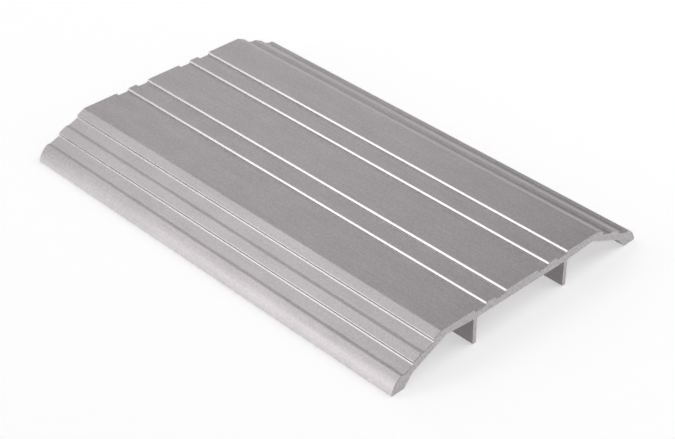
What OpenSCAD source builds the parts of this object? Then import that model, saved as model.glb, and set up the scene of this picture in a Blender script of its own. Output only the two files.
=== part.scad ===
// Saddle threshold: one fluted aluminium extrusion, sawn square to a short length.
// Millimetres. +X runs along the strip, +Y across it, +Z up.
// The origin is on the floor, under the middle of the strip.
// The section is the same on both sides of the XZ plane.

/* [Strip] */
// Length of the strip, across the doorway
strip_l = 165; // [40:5:1200]
// Width of the strip over both noses
strip_w = 108; // [100:1:120]
// Height of the walking surface above the floor
strip_h = 12.7; // [12:0.1:14]

/* [Top plate] */
// Depth of the four grooves in the flat top
groove_depth = 1.0; // [0.4:0.1:1.4]
// Width of the mouth of each groove in the flat top
groove_w = 5.2; // [3:0.1:5.6]
// Lean of each groove's walls away from upright, in degrees
groove_wall_lean = 30; // [0:5:35]
// Half width of the middle land, between the two inner grooves
middle_land_half_w = 6.8; // [5:0.1:7.4]
// Width of each narrow land, between an inner and an outer groove
narrow_land_w = 3.4; // [2:0.1:4]
// Wall between a groove's floor and the underside
groove_floor_wall = 2.5; // [2:0.1:3]
// Wall at the outer edges of the flat top
shoulder_wall = 2.6; // [2.2:0.1:3.4]

/* [Ramps] */
// Slope of the line that touches all the crests of a ramp, in degrees
ramp_angle = 24.5; // [22:0.5:27]
// Width of each plain band of a ramp, measured across the strip
band_w = 3.1; // [2:0.1:3.6]
// Width of each flute of a ramp, measured across the strip
flute_w = 4.9; // [3.6:0.1:5.4]
// Depth of each flute below the crests at its steep upper side
flute_depth = 1.0; // [0.5:0.1:1.3]
// Depth of each flute below the crests where its floor meets its soft lower side
flute_lip_depth = 0.65; // [0.3:0.05:0.8]
// Width of each flute's soft lower side, measured across the strip
flute_lip_w = 1.1; // [0.8:0.1:1.6]
// Wall of a ramp at its crests, square to the ramp
ramp_wall = 3.2; // [2.8:0.1:3.5]

/* [Noses] */
// Width of each nose outside the lowest crest
nose_w = 3.8; // [3.2:0.1:5]
// Radius of the rounded face of each nose
nose_r = 7.5; // [5:0.5:12]
// Width of each nose's foot on the floor
foot_w = 5.0; // [4:0.1:6]
// Lean of the nose's inner face, in degrees from level
inner_face_angle = 50; // [42:1:60]
// Radius of the hollow where a ramp's underside turns down into the nose
hollow_r = 6; // [1:0.5:8]

/* [Legs] */
// Distance from the middle of the strip to the outer face of each leg
leg_outer_y = 20.7; // [16:0.1:24]
// Thickness of each leg
leg_t = 1.5; // [1.2:0.1:2.4]

/* [Edge radii] */
// Radius of the edges of the lands and bands
land_edge_r = 0.2; // [0.05:0.05:0.3]
// Radius in the roots of the grooves in the flat top
groove_root_r = 0.15; // [0.05:0.05:0.2]
// Radius in the root of each flute
flute_root_r = 0.4; // [0.1:0.1:0.5]
// Radius of the crest below each flute
crest_r = 0.6; // [0.2:0.1:0.8]
// Radius of the soft break between the flat top and each ramp
shoulder_r = 2; // [0.5:0.5:4]
// Radius of the corners of the feet
foot_r = 0.4; // [0.1:0.1:0.5]
// Radius of the fillets between the legs and the plate
leg_root_r = 0.4; // [0.1:0.1:0.8]

/* [Hidden] */

mill_aluminium = [0.74, 0.73, 0.73];

// Largest turn of one facet, in degrees, on small and on large radii
small_arc_turn = 15;
large_arc_turn = 3;
// Radius, in millimetres, above which an arc counts as large
large_arc_r = 1;

// Places across the flat top, from the middle outward
inner_groove_y = middle_land_half_w;
narrow_land_y = inner_groove_y + groove_w;
outer_groove_y = narrow_land_y + narrow_land_w;
wide_land_y = outer_groove_y + groove_w;

// Places across a ramp, from the flat top outward
flute_pitch = band_w + flute_w;
flute_count = 2;
nose_tip_y = strip_w / 2;
nose_crest_y = nose_tip_y - nose_w;
shoulder_y = nose_crest_y - flute_count * flute_pitch;

// Heights
groove_floor_z = strip_h - groove_depth;
plate_under_z = groove_floor_z - groove_floor_wall;
shoulder_under_z = strip_h - shoulder_wall;
ramp_wall_z = ramp_wall / cos(ramp_angle);
nose_tip_z = 0.6;

// Height of the crest line at a distance y from the middle of the strip
function crest_z(y) = strip_h - (y - shoulder_y) * tan(ramp_angle);

// Where the ramp's underside, parallel to its crest line, meets the shoulder's underside
shoulder_under_y = shoulder_y + (strip_h - ramp_wall_z - shoulder_under_z) / tan(ramp_angle);
// Where the ramp's underside meets the nose's inner face
foot_inner_y = nose_tip_y - foot_w;
hollow_y = (foot_inner_y * tan(inner_face_angle) - (crest_z(0) - ramp_wall_z))
    / (tan(inner_face_angle) - tan(ramp_angle));
hollow_z = (foot_inner_y - hollow_y) * tan(inner_face_angle);

// Points of an arc, from the angle start through the angle turn, in degrees
function arc(centre, r, start, turn) =
    let (largest = r > large_arc_r ? large_arc_turn : small_arc_turn)
    let (steps = ceil(abs(turn) / largest))
    [for (i = [0 : steps]) centre + r * [cos(start + turn * i / steps), sin(start + turn * i / steps)]];

// The corner at b, between a and c, rounded to the radius r
function rounded_corner(a, b, c, r) =
    let (to_a = (a - b) / norm(a - b))
    let (to_c = (c - b) / norm(c - b))
    let (half_corner = acos(to_a * to_c) / 2)
    let (middle = (to_a + to_c) / norm(to_a + to_c))
    let (centre = b + middle * r / sin(half_corner))
    let (first = b + to_a * r / tan(half_corner) - centre)
    let (turn = (180 - 2 * half_corner) * sign(cross(to_c, to_a)))
    arc(centre, r, atan2(first.y, first.x), turn);

// An outline with every corner [y, z, radius] rounded, and corners of radius 0 left sharp
function rounded_outline(corners) =
    let (n = len(corners))
    let (at = [for (c = corners) [c.x, c.y]])
    [for (i = [0 : n - 1])
        each corners[i].z == 0
            ? [at[i]]
            : rounded_corner(at[(i + n - 1) % n], at[i], at[(i + 1) % n], corners[i].z)];

// A corner on the other side of the middle of the strip
function mirrored(corner) = [-corner.x, corner.y, corner.z];

// One groove in the flat top, between the distances y0 and y1 from the middle
function top_groove(y0, y1) =
    let (wall_w = groove_depth * tan(groove_wall_lean))
    [
        [y0, strip_h, land_edge_r],
        [y0 + wall_w, groove_floor_z, groove_root_r],
        [y1 - wall_w, groove_floor_z, groove_root_r],
        [y1, strip_h, land_edge_r]
    ];

// One band of a ramp and the flute below it, the band starting at the distance y0
function ramp_flute(y0) =
    let (riser_y = y0 + band_w)
    let (lip_y = riser_y + flute_w - flute_lip_w)
    let (crest_y = riser_y + flute_w)
    [
        [riser_y, crest_z(riser_y), land_edge_r],
        [riser_y, crest_z(riser_y) - flute_depth, flute_root_r],
        [lip_y, crest_z(lip_y) - flute_lip_depth, crest_r],
        [crest_y, crest_z(crest_y), crest_r]
    ];

// The rounded face of a nose, an arc from the lowest crest to just above the floor
function nose_face() =
    let (top = [nose_crest_y, crest_z(nose_crest_y)])
    let (tip = [nose_tip_y, nose_tip_z])
    let (chord = tip - top)
    let (half_chord = norm(chord) / 2)
    let (inward = [chord.y, -chord.x] / norm(chord))
    let (centre = (top + tip) / 2 + inward * sqrt(nose_r * nose_r - half_chord * half_chord))
    let (turn = -2 * asin(half_chord / nose_r))
    let (points = arc(centre, nose_r, atan2(top.y - centre.y, top.x - centre.x), turn))
    [for (i = [1 : len(points) - 1]) [points[i].x, points[i].y, 0]];

// Half of the section, from the middle of the top round to the middle of the underside
function half_section() = concat(
    top_groove(inner_groove_y, narrow_land_y),
    top_groove(outer_groove_y, wide_land_y),
    [[shoulder_y, strip_h, shoulder_r]],
    [for (i = [0 : flute_count - 1]) each ramp_flute(shoulder_y + i * flute_pitch)],
    nose_face(),
    [
        [nose_tip_y, 0, foot_r],
        [foot_inner_y, 0, foot_r],
        [hollow_y, hollow_z, hollow_r],
        [shoulder_under_y, shoulder_under_z, shoulder_r],
        [leg_outer_y, plate_under_z, leg_root_r],
        [leg_outer_y, 0, foot_r],
        [leg_outer_y - leg_t, 0, foot_r],
        [leg_outer_y - leg_t, plate_under_z, leg_root_r]
    ]
);

// The whole strip: top plate, two fluted ramps with noses, and two legs, extruded in one piece
module threshold_extrusion() {
    half = half_section();
    n = len(half);
    whole = concat(half, [for (i = [1 : n]) mirrored(half[n - i])]);
    color(mill_aluminium)
        rotate([90, 0, 90])
        linear_extrude(height = strip_l, center = true)
        polygon(rounded_outline(whole));
}

threshold_extrusion();
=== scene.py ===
"""Saddle threshold: a sawn length of fluted aluminium extrusion on a pale studio floor.

Metres, Z up. The strip runs along X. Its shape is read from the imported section.
"""

import math

import bmesh
import bpy
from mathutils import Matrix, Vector, noise


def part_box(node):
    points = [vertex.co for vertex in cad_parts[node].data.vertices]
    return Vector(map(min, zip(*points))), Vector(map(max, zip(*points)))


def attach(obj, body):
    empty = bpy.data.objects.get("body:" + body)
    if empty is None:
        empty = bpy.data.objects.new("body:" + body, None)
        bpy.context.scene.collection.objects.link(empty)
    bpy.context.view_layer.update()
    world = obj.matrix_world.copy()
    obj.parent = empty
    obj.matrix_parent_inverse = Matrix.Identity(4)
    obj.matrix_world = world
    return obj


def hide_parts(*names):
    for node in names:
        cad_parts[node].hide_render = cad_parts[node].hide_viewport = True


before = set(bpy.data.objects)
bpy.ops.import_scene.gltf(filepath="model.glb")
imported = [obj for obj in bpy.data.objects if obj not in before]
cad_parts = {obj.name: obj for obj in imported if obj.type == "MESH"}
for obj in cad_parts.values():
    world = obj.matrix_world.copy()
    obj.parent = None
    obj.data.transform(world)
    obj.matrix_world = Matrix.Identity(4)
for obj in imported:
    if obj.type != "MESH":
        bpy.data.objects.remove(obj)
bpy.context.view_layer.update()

NODE = "threshold_extrusion"
MM = 0.001

# Camera, found by fitting the strip's edges and ends
CAMERA_AZIMUTH = math.radians(46.15)
CAMERA_ELEVATION = math.radians(35.2)
CAMERA_DISTANCE = 0.55
CAMERA_TARGET = Vector((0.0104, -0.0054, 0.0))
LENS_MM = 92.26
SENSOR_MM = 36.0

# Floor and light
FLOOR_SIZE = 6.0
FLOOR_DROP = 0.05 * MM
FLOOR_COLOUR = (0.95, 0.95, 0.95, 1)
FLOOR_GLOW = 0.46
WORLD_STRENGTH = 0.06
SOFTBOX_DISTANCE = 2.0
# Name, azimuth and elevation in degrees, diameter in metres, power in watts
SOFTBOXES = [
    ("key", 150, 60, 1.8, 14),
    ("left", -120, 40, 2.0, 2.2),
    ("left_high", -80, 55, 1.2, 2.7),
    ("front_left", -45, 42, 1.2, 2.5),
    ("front_low", -28, 12, 1.2, 4),
]
# A ring of equal fill lights all round
FILL_AZIMUTHS = range(0, 360, 45)
FILL_ELEVATION = 22
FILL_SIZE = 1.2
FILL_POWER = 1.5

# Reading the section: points this close are one point, and faces this close to the end are its face
SAME_POINT = 1e-7
SAME_PLANE = 1e-6

# Skin: number of lengths along the strip
STATIONS = 44
# Width of the hand-filed chamfer round the sawn ends, which varies with a noise of this many waves a metre
CHAMFER_LEAST = 0.05 * MM
CHAMFER_MOST = 0.16 * MM
CHAMFER_WAVES = 260
# Distance in the noise from the middle to each end, so that the two ends differ
CHAMFER_END_STEP = 7.0
# Least divisor of a corner's mitre, which limits its length at a sharp corner
MITRE_LEAST = 0.4
SHARP_ANGLE = math.radians(35)
# Weight of the large faces in the smooth shading, from 1 to 100
FLAT_FACE_WEIGHT = 100

# Finishes: order of the material slots. The third is a lighter copy of the metal painted as highlight, the
# fourth a darker copy painted as shade.
MILL, SAWN, PAINTED_HIGHLIGHT, PAINTED_SHADE = range(4)
# Edges of the section steeper than this (rise over length) are groove walls or flute risers
GROOVE_STEEPNESS = 0.8
RISER_STEEPNESS = 0.6
# Heights above the floor: between the grooves and the underside, and just above the noses
PLATE_Z = 10.5 * MM
NOSE_Z = 5.7 * MM
# Distances from the middle: outside the legs, past the flat top, and where the noses' feet begin
LEG_Y = 25.0 * MM
RAMP_Y = 36.0 * MM
FOOT_Y = 49.0 * MM
# An edge counts as facing down only if it is wider than this
WIDTH_LEAST = 0.001 * MM
# Finish up each wall, from its root to its edge, with the share of the height at which it ends.
# Edges shorter than WALL_LEAST are roundings, and have one finish, the painted highlight.
WALL_LEAST = 0.3 * MM
# Groove walls: painted shade over the lower share by the root, painted highlight above it
GROOVE_BANDS = [(0.35, PAINTED_SHADE), (1, PAINTED_HIGHLIGHT)]
# Flute risers: painted highlight at the root, painted shade in the middle, painted highlight at the top edge
RISER_BANDS = [(0.25, PAINTED_HIGHLIGHT), (0.9, PAINTED_SHADE), (1, PAINTED_HIGHLIGHT)]

# Metal: each finish's darkest and lightest colour, and its least and greatest roughness
ANISOTROPY = 0.5
MILL_DARK, MILL_LIGHT = (0.60, 0.565, 0.573), (0.785, 0.742, 0.752)
# Lighter copy of the metal: painted highlight on groove walls, riser lines and edge roundings
PAINTED_HIGHLIGHT_DARK, PAINTED_HIGHLIGHT_LIGHT = (0.87, 0.84, 0.845), (0.91, 0.88, 0.885)
# Darker copy of the metal: painted shade on the underside, legs, wall roots and riser middles
PAINTED_SHADE_DARK, PAINTED_SHADE_LIGHT = (0.34, 0.32, 0.325), (0.43, 0.405, 0.41)
SAWN_DARK, SAWN_LIGHT = (0.38, 0.36, 0.365), (0.67, 0.645, 0.65)
MILL_ROUGHNESS = (0.32, 0.44)
PAINTED_HIGHLIGHT_ROUGHNESS = (0.22, 0.32)
PAINTED_SHADE_ROUGHNESS = (0.5, 0.6)
SAWN_ROUGHNESS = (0.4, 0.6)

# Noises: stretch of the axes, scale and detail
DIE_LINES = ((1.0, 0.01, 1.0), 3000.0, 4)
MOTTLE = ((0.4, 1.0, 1.0), 160.0, 3)
GRAIN = ((1.0, 1.0, 1.0), 1400.0, 2)
SAW_MARKS = ((1.0, 2600.0, 900.0), 1.0, 3)
# Share of each noise in the drawn metal's colour
GRAIN_SHARE = 0.5
MOTTLE_SHARE = 0.2
DIE_LINES_SHARE = 0.3
# Noise values at which a colour is darkest and lightest
DRAWN_RANGE = (0.35, 0.65)
SAWN_RANGE = (0.3, 0.7)
# Strength and depth of each bump
DRAWN_BUMP = (0.12, 0.02 * MM)
SAWN_BUMP = (0.3, 0.03 * MM)
# Tilt of the saw marks
SAW_TILT = math.radians(12)

# UV map with u round the section and v along the strip, in metres
ALONG_UV = "along"


def section_outline(cad, x):
    """The CAD section as (y, z) points in order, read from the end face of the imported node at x."""
    bm = bmesh.new()
    bm.from_mesh(cad.data)
    bmesh.ops.remove_doubles(bm, verts=bm.verts, dist=SAME_POINT)
    cap = {f for f in bm.faces if all(abs(v.co.x - x) < SAME_PLANE for v in f.verts)}
    rim = [e for e in bm.edges if sum(f in cap for f in e.link_faces) == 1]
    neighbours = {}
    for edge in rim:
        a, b = edge.verts
        neighbours.setdefault(a, []).append(b)
        neighbours.setdefault(b, []).append(a)
    start = max(neighbours, key=lambda v: (v.co.z, v.co.y))
    loop, previous, here = [], None, start
    while True:
        loop.append((here.co.y, here.co.z))
        ahead = [v for v in neighbours[here] if v is not previous]
        previous, here = here, ahead[0]
        if here is start:
            break
    bm.free()
    area = sum(a[0] * b[1] - b[0] * a[1] for a, b in zip(loop, loop[1:] + loop[:1]))
    return loop if area > 0 else loop[::-1]


def inward_directions(outline):
    """At each point of a counter-clockwise outline, the direction that moves both of its edges in by one."""
    n = len(outline)
    directions = []
    for i in range(n):
        before, here, after = (Vector(outline[k % n]) for k in (i - 1, i, i + 1))
        d1 = (here - before).normalized()
        d2 = (after - here).normalized()
        n1, n2 = Vector((-d1.y, d1.x)), Vector((-d2.y, d2.x))
        directions.append((n1 + n2) / max(MITRE_LEAST, 1 + n1.dot(n2)))
    return directions


def is_wall(a, b):
    """Whether the outline's edge from a to b is a groove's wall or a flute's riser."""
    y, z = abs(a[0] + b[0]) / 2, (a[1] + b[1]) / 2
    steepness = GROOVE_STEEPNESS if y < RAMP_Y else RISER_STEEPNESS
    steep = abs(b[1] - a[1]) > steepness * math.dist(a, b)
    return steep and (z > PLATE_Z or (y > LEG_Y and z > NOSE_Z))


def is_underside(a, b):
    """Whether the outline's edge from a to b is on the legs or under the plate or a ramp."""
    y, z = abs(a[0] + b[0]) / 2, (a[1] + b[1]) / 2
    faces_down = b[0] - a[0] > WIDTH_LEAST
    return (faces_down and y < FOOT_Y) or (y < LEG_Y and z < PLATE_Z)


def finishes_along(a, b):
    """The finishes met from a to b, each with the share of the edge at which it ends."""
    # The underside and legs get painted shade
    if is_underside(a, b):
        return [(1, PAINTED_SHADE)]
    if not is_wall(a, b):
        return [(1, MILL)]
    # Short roundings at wall edges get painted highlight all over
    if math.dist(a, b) < WALL_LEAST:
        return [(1, PAINTED_HIGHLIGHT)]
    # Walls get bands of painted highlight and painted shade
    upward = RISER_BANDS if abs(a[0]) > RAMP_Y else GROOVE_BANDS
    if a[1] < b[1]:
        return upward
    ends = [end for end, _ in upward]
    return [(1 - end, kind) for end, (_, kind) in zip(ends[-2::-1] + [0], upward[::-1])]


def finished_outline(outline):
    """The outline cut wherever its finish changes, and the finish of each of its edges."""
    points, finish = [], []
    for a, b in zip(outline, outline[1:] + outline[:1]):
        start = 0
        for end, kind in finishes_along(a, b):
            points.append((a[0] + (b[0] - a[0]) * start, a[1] + (b[1] - a[1]) * start))
            finish.append(kind)
            start = end
    return points, finish


def chamfer_cuts(outline, end):
    """How far the chamfer at one end, -1 or 1, cuts in at each point of the outline."""
    cuts = []
    for y, z in outline:
        t = 0.5 + 0.5 * noise.noise(Vector((y * CHAMFER_WAVES, z * CHAMFER_WAVES, CHAMFER_END_STEP * end)))
        cuts.append(CHAMFER_LEAST + (CHAMFER_MOST - CHAMFER_LEAST) * min(1.0, max(0.0, t)))
    return cuts


def chamfer_rings(outline, x, end):
    """The rim of the sawn face at x, and the ring where its chamfer meets the sides."""
    cuts = chamfer_cuts(outline, end)
    inward = inward_directions(outline)
    face = [(x, y + d.x * c, z + d.y * c) for (y, z), d, c in zip(outline, inward, cuts)]
    side = [(x - end * c, y, z) for (y, z), c in zip(outline, cuts)]
    return face, side


def skin_rings(outline, left, right):
    """Copies of the outline from x = left to x = right, with two rings for the chamfer at each end."""
    left_face, left_side = chamfer_rings(outline, left, -1)
    right_face, right_side = chamfer_rings(outline, right, 1)
    rings = [left_face, left_side]
    for k in range(1, STATIONS):
        x = left + (right - left) * k / STATIONS
        rings.append([(x, y, z) for y, z in outline])
    return rings + [right_side, right_face]


def skin_faces(ring_count, n):
    """Quads between neighbouring rings of n points, and then one face over each end."""
    faces = []
    for ring in range(ring_count - 1):
        a, b = ring * n, (ring + 1) * n
        for i in range(n):
            j = (i + 1) % n
            faces.append((a + i, b + i, b + j, a + j))
    last = (ring_count - 1) * n
    return faces + [tuple(range(n - 1, -1, -1)), tuple(range(last, last + n))]


def map_sides(mesh, outline, finish, ring_count):
    """Give each side quad its finish and its place in the UV map."""
    n = len(outline)
    around = [0.0]
    for a, b in zip(outline, outline[1:] + outline[:1]):
        around.append(around[-1] + (Vector(b) - Vector(a)).length)
    uv = mesh.uv_layers.new(name=ALONG_UV)
    for polygon in mesh.polygons[:-2]:
        ring, first = divmod(polygon.vertices[0], n)
        on_chamfer = ring in (0, ring_count - 2)
        polygon.material_index = SAWN if on_chamfer else finish[first]
        for corner in polygon.loop_indices:
            vertex = mesh.loops[corner].vertex_index
            step = (vertex % n - first) % n
            uv.data[corner].uv = (around[first + step], mesh.vertices[vertex].co.x)


def shade_skin(mesh):
    """Turn all faces outward, smooth the sides between sharp edges, and triangulate the flat sawn ends."""
    bm = bmesh.new()
    bm.from_mesh(mesh)
    bmesh.ops.recalc_face_normals(bm, faces=bm.faces)
    ends = [f for f in bm.faces if len(f.verts) > 4]
    for f in bm.faces:
        f.smooth = True
    for f in ends:
        f.material_index = SAWN
        f.smooth = False
    bmesh.ops.triangulate(bm, faces=ends)
    bm.to_mesh(mesh)
    bm.free()
    mesh.set_sharp_from_angle(angle=SHARP_ANGLE)


def build_skin(cad):
    """The extrusion as one closed mesh: the CAD section, with hand-filed chamfers round the sawn ends."""
    lo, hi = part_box(NODE)
    outline, finish = finished_outline(section_outline(cad, hi.x))
    rings = skin_rings(outline, lo.x, hi.x)
    mesh = bpy.data.meshes.new("threshold_skin")
    mesh.from_pydata([co for ring in rings for co in ring], [], skin_faces(len(rings), len(outline)))
    map_sides(mesh, outline, finish, len(rings))
    shade_skin(mesh)
    skin = bpy.data.objects.new("threshold_skin", mesh)
    bpy.context.scene.collection.objects.link(skin)
    weighted = skin.modifiers.new("flat_faces_stay_flat", "WEIGHTED_NORMAL")
    weighted.keep_sharp = True
    weighted.weight = FLAT_FACE_WEIGHT
    return skin


def new_material(name):
    material = bpy.data.materials.new(name)
    material.use_nodes = True
    tree = material.node_tree
    return material, tree, tree.nodes["Principled BSDF"]


def noise_at(tree, source, stretch, scale, detail):
    """A noise value read at source, with its axes scaled by stretch."""
    mapping = tree.nodes.new("ShaderNodeMapping")
    mapping.inputs["Scale"].default_value = stretch
    tree.links.new(source, mapping.inputs["Vector"])
    texture = tree.nodes.new("ShaderNodeTexNoise")
    texture.inputs["Scale"].default_value = scale
    texture.inputs["Detail"].default_value = detail
    tree.links.new(mapping.outputs["Vector"], texture.inputs["Vector"])
    return texture.outputs["Fac"]


def weighted_sum(tree, pairs):
    """The sum of value * weight over the pairs."""
    total = None
    for value, weight in pairs:
        term = tree.nodes.new("ShaderNodeMath")
        term.operation = "MULTIPLY_ADD"
        term.inputs[1].default_value = weight
        tree.links.new(value, term.inputs[0])
        if total:
            tree.links.new(total, term.inputs[2])
        else:
            term.inputs[2].default_value = 0.0
        total = term.outputs["Value"]
    return total


def ramp_between(tree, value, low, high, dark, light):
    """The colour dark at the value low and light at the value high."""
    ramp = tree.nodes.new("ShaderNodeValToRGB")
    first, last = ramp.color_ramp.elements
    first.position, last.position = low, high
    first.color, last.color = (*dark, 1), (*light, 1)
    tree.links.new(value, ramp.inputs["Fac"])
    return ramp.outputs["Color"]


def bump(tree, height, strength, distance, normal=None):
    node = tree.nodes.new("ShaderNodeBump")
    node.inputs["Strength"].default_value = strength
    node.inputs["Distance"].default_value = distance
    tree.links.new(height, node.inputs["Height"])
    if normal:
        tree.links.new(normal, node.inputs["Normal"])
    return node.outputs["Normal"]


def remap(tree, value, low, high):
    node = tree.nodes.new("ShaderNodeMapRange")
    node.inputs["To Min"].default_value = low
    node.inputs["To Max"].default_value = high
    tree.links.new(value, node.inputs["Value"])
    return node.outputs["Result"]


def drawn_aluminium(name, dark, light, roughness):
    """As-drawn aluminium: satin, with fine grain, faint mottling and die lines along the strip. Its lighter
    and darker copies are painted highlight and painted shade.
    """
    material, tree, bsdf = new_material(name)
    bsdf.inputs["Metallic"].default_value = 1.0
    place = tree.nodes.new("ShaderNodeTexCoord").outputs["Object"]
    along = tree.nodes.new("ShaderNodeUVMap")
    along.uv_map = ALONG_UV
    tangent = tree.nodes.new("ShaderNodeTangent")
    tangent.direction_type = "UV_MAP"
    tangent.uv_map = ALONG_UV
    tree.links.new(tangent.outputs["Tangent"], bsdf.inputs["Tangent"])
    bsdf.inputs["Anisotropic"].default_value = ANISOTROPY

    die_lines = noise_at(tree, along.outputs["UV"], *DIE_LINES)
    mottle = noise_at(tree, place, *MOTTLE)
    grain = noise_at(tree, place, *GRAIN)
    shares = [(grain, GRAIN_SHARE), (mottle, MOTTLE_SHARE), (die_lines, DIE_LINES_SHARE)]
    shade = weighted_sum(tree, shares)
    tree.links.new(ramp_between(tree, shade, *DRAWN_RANGE, dark, light), bsdf.inputs["Base Color"])
    tree.links.new(remap(tree, grain, *roughness), bsdf.inputs["Roughness"])
    lined = bump(tree, die_lines, *DRAWN_BUMP)
    tree.links.new(bump(tree, grain, *DRAWN_BUMP, lined), bsdf.inputs["Normal"])
    return material


def sawn_aluminium():
    """The sawn end faces, with saw marks across them."""
    material, tree, bsdf = new_material("sawn_finish")
    bsdf.inputs["Metallic"].default_value = 1.0
    mapping = tree.nodes.new("ShaderNodeMapping")
    mapping.inputs["Rotation"].default_value = (SAW_TILT, 0, 0)
    tree.links.new(tree.nodes.new("ShaderNodeTexCoord").outputs["Object"], mapping.inputs["Vector"])
    marks = noise_at(tree, mapping.outputs["Vector"], *SAW_MARKS)
    colour = ramp_between(tree, marks, *SAWN_RANGE, SAWN_DARK, SAWN_LIGHT)
    tree.links.new(colour, bsdf.inputs["Base Color"])
    tree.links.new(remap(tree, marks, *SAWN_ROUGHNESS), bsdf.inputs["Roughness"])
    tree.links.new(bump(tree, marks, *SAWN_BUMP), bsdf.inputs["Normal"])
    return material


def add_camera():
    back = Vector((
        math.sin(CAMERA_AZIMUTH) * math.cos(CAMERA_ELEVATION),
        -math.cos(CAMERA_AZIMUTH) * math.cos(CAMERA_ELEVATION),
        math.sin(CAMERA_ELEVATION),
    ))
    data = bpy.data.cameras.new("camera")
    data.lens = LENS_MM
    data.sensor_width = SENSOR_MM
    camera = bpy.data.objects.new("camera", data)
    camera.location = CAMERA_TARGET + back * CAMERA_DISTANCE
    camera.rotation_mode = "QUATERNION"
    camera.rotation_quaternion = (-back).to_track_quat("-Z", "Y")
    bpy.context.scene.collection.objects.link(camera)
    bpy.context.scene.camera = camera


def add_floor():
    bpy.ops.mesh.primitive_plane_add(size=FLOOR_SIZE, location=(0, 0, -FLOOR_DROP))
    floor = bpy.context.object
    floor.name = "floor"
    material, _, bsdf = new_material("floor")
    bsdf.inputs["Base Color"].default_value = FLOOR_COLOUR
    bsdf.inputs["Roughness"].default_value = 1.0
    bsdf.inputs["Specular IOR Level"].default_value = 0.0
    bsdf.inputs["Emission Color"].default_value = (1, 1, 1, 1)
    bsdf.inputs["Emission Strength"].default_value = FLOOR_GLOW
    floor.data.materials.append(material)


def add_softbox(name, azimuth, elevation, size, power):
    """A round soft light that looks at the origin. Azimuth 0 is on the -Y side and 90 on the +X side."""
    a, e = math.radians(azimuth), math.radians(elevation)
    towards = Vector((math.sin(a) * math.cos(e), -math.cos(a) * math.cos(e), math.sin(e)))
    data = bpy.data.lights.new(name, "AREA")
    data.shape = "DISK"
    data.size = size
    data.energy = power
    light = bpy.data.objects.new(name, data)
    light.location = towards * SOFTBOX_DISTANCE
    light.rotation_mode = "QUATERNION"
    light.rotation_quaternion = (-towards).to_track_quat("-Z", "Y")
    bpy.context.scene.collection.objects.link(light)


def add_light():
    world = bpy.data.worlds.new("studio")
    world.use_nodes = True
    background = world.node_tree.nodes["Background"]
    background.inputs["Color"].default_value = (1, 1, 1, 1)
    background.inputs["Strength"].default_value = WORLD_STRENGTH
    bpy.context.scene.world = world
    for softbox in SOFTBOXES:
        add_softbox(*softbox)
    for azimuth in FILL_AZIMUTHS:
        add_softbox(f"fill_{azimuth}", azimuth, FILL_ELEVATION, FILL_SIZE, FILL_POWER)


skin = build_skin(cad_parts[NODE])
# The materials go in the order of the finishes
skin.data.materials.append(drawn_aluminium("mill_finish", MILL_DARK, MILL_LIGHT, MILL_ROUGHNESS))
skin.data.materials.append(sawn_aluminium())
# Painted highlight: a lighter copy of the metal
skin.data.materials.append(drawn_aluminium("painted_highlight_finish", PAINTED_HIGHLIGHT_DARK, PAINTED_HIGHLIGHT_LIGHT, PAINTED_HIGHLIGHT_ROUGHNESS))
# Painted shade: a darker copy of the metal
skin.data.materials.append(drawn_aluminium("painted_shade_finish", PAINTED_SHADE_DARK, PAINTED_SHADE_LIGHT, PAINTED_SHADE_ROUGHNESS))
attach(skin, "root")
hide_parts(NODE)

add_floor()
add_light()
add_camera()
bpy.context.scene.view_settings.view_transform = "Standard"
